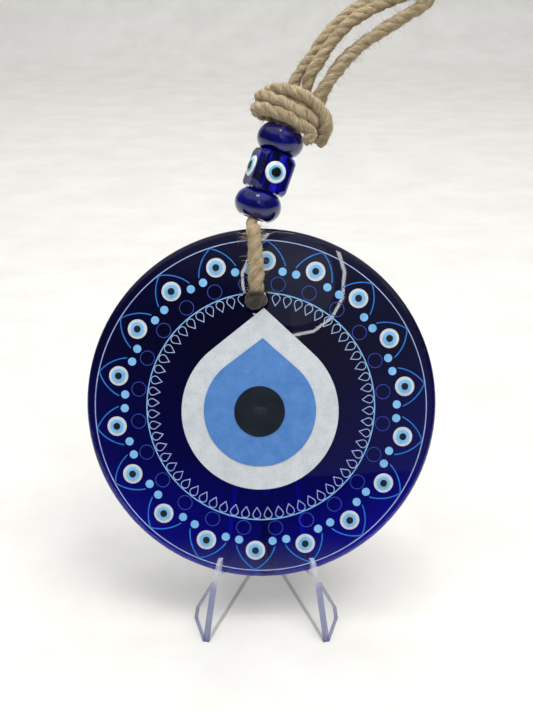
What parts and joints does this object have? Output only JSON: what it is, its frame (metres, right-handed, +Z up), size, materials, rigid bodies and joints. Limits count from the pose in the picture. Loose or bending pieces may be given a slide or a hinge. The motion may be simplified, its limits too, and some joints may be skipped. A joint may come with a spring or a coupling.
{
  "type": "evil eye ornament",
  "caption": "Domed cobalt glass disc with an enamel eye pattern, hung with beads on a knotted jute cord, leaning on a clear display easel.",
  "frame": {"origin": "centre of the footprint of the ornament and easel on the surface they stand on, cord left out", "axes": "+Z up, +X to the right seen from the front, the disc faces -Y"},
  "size_m": [0.11, 0.0807, 0.1912],
  "materials": {
    "cobalt_glass": "polished, deep cobalt",
    "bead_glass": "polished",
    "cube_glass": "polished",
    "white_enamel": "satin fused enamel",
    "sky_enamel": "satin fused enamel",
    "azure_enamel": "satin fused enamel",
    "black_enamel": "satin fused enamel",
    "pale_enamel": "satin fused enamel",
    "dim_enamel": "satin fused enamel",
    "jute": "twisted natural fibre",
    "clear_plastic": "clear, polished, faint violet edges"
  },
  "bodies": {
    "easel": {"easel_left": "clear_plastic", "easel_right": "clear_plastic", "easel_spine": "clear_plastic"},
    "disc": {"glass_disc": "cobalt_glass", "white_drop": "white_enamel", "iris_drop": "sky_enamel", "pupil_dot": "black_enamel", "outer_ring": "white_enamel", "inner_ring": "sky_enamel", "petal_arcs": "azure_enamel", "petal_dots": "sky_enamel", "eye_whites": "white_enamel", "eye_irises": "sky_enamel", "eye_pupils": "black_enamel", "teardrop_loops": "pale_enamel", "thin_circles": "dim_enamel"},
    "hanger": {"sling_cord": "jute", "bead_cord": "jute", "knot_core": "jute", "knot_wraps": "jute", "tail_a": "jute", "tail_b": "jute"},
    "lower_rondelle": {"lower_bead": "bead_glass"},
    "cube": {"cube_bead": "cube_glass", "cube_eye_whites": "white_enamel", "cube_eye_irises": "sky_enamel", "cube_eye_pupils": "black_enamel"},
    "upper_rondelle": {"upper_bead": "bead_glass"},
    "loop": {"loop_cord_a": "jute", "loop_cord_b": "jute"}
  },
  "joints": [
    {"name": "disc_lift", "type": "slide", "parent": "easel", "child": "disc", "axis": [0, 0.342, 0.9397], "range_m": [0, 0.08]},
    {"name": "hanger_swing", "type": "hinge", "parent": "disc", "child": "hanger", "pos_m": [-0.0017, 0.00941, 0.09848], "axis": [0, -0.9397, 0.342], "range_deg": [-13, 13]},
    {"name": "lower_bead_spin", "type": "hinge", "parent": "hanger", "child": "lower_rondelle", "pos_m": [-0.0011, 0.01957, 0.12639], "axis": [0.3305, 0.3228, 0.8869], "continuous": true},
    {"name": "cube_bead_spin", "type": "hinge", "parent": "hanger", "child": "cube", "pos_m": [0.00242, 0.02301, 0.13583], "axis": [0.3305, 0.3228, 0.8869], "continuous": true},
    {"name": "upper_bead_spin", "type": "hinge", "parent": "hanger", "child": "upper_rondelle", "pos_m": [0.00594, 0.02644, 0.14528], "axis": [0.3305, 0.3228, 0.8869], "continuous": true},
    {"name": "loop_nod", "type": "hinge", "parent": "hanger", "child": "loop", "pos_m": [0.01093, 0.03132, 0.15867], "axis": [0.9438, -0.113, -0.3106], "range_deg": [-25, 25]}
  ]
}
